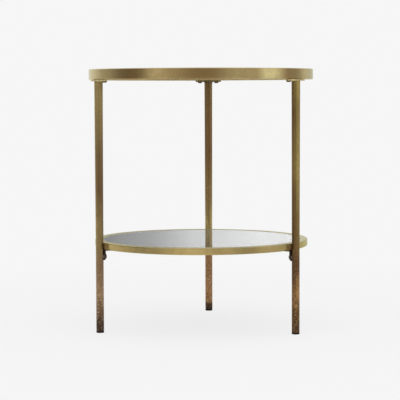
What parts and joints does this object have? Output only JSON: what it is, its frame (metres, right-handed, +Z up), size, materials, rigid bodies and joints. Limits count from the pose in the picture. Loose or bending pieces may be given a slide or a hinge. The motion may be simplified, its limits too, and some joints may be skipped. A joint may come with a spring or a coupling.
{
  "type": "tiered side table",
  "caption": "Round side table with a mirror top and a lower mirror shelf, each framed by a rolled brass-finish hoop, on slim round tube legs.",
  "frame": {"origin": "on the floor, at the vertical axis of the two round tiers", "axes": "+Z up, +Y towards the single back leg, the front legs at 210 and 330 degrees about +Z from +X"},
  "size_m": [0.4599, 0.4656, 0.53],
  "materials": {
    "aged_brass_hoop": "brushed and aged, olive to brown patina",
    "aged_brass_leg": "brushed and aged, browner and speckled towards the floor",
    "aged_brass_fitting": "aged, darker than the tube",
    "bronzed_screw": "dark bronze, satin",
    "zinc_nut": "zinc plated",
    "bronzed_tab": "dark bronze, satin",
    "mirror_glass": "polished float-glass mirror",
    "black_board": "black-faced fibreboard, matt",
    "felt_pad": "black felt",
    "black_cap": "moulded, matt"
  },
  "bodies": {
    "root": {"top_hoop": "aged_brass_hoop", "lower_hoop": "aged_brass_hoop", "leg_back": "aged_brass_leg", "leg_left": "aged_brass_leg", "leg_right": "aged_brass_leg", "leg_plate_back": "aged_brass_fitting", "leg_plate_left": "aged_brass_fitting", "leg_plate_right": "aged_brass_fitting", "shelf_bracket_back": "aged_brass_fitting", "shelf_bracket_left": "aged_brass_fitting", "shelf_bracket_right": "aged_brass_fitting", "plate_screws": "bronzed_screw", "shelf_screws": "bronzed_screw", "hoop_nuts": "zinc_nut", "leg_nuts": "zinc_nut", "top_tabs": "bronzed_tab", "lower_tabs": "bronzed_tab", "top_mirror": "mirror_glass", "lower_mirror": "mirror_glass", "top_backing_board": "black_board", "lower_backing_board": "black_board", "top_pads": "felt_pad", "lower_pads": "felt_pad", "foot_cap_back": "black_cap", "foot_cap_left": "black_cap", "foot_cap_right": "black_cap"}
  },
  "joints": []
}
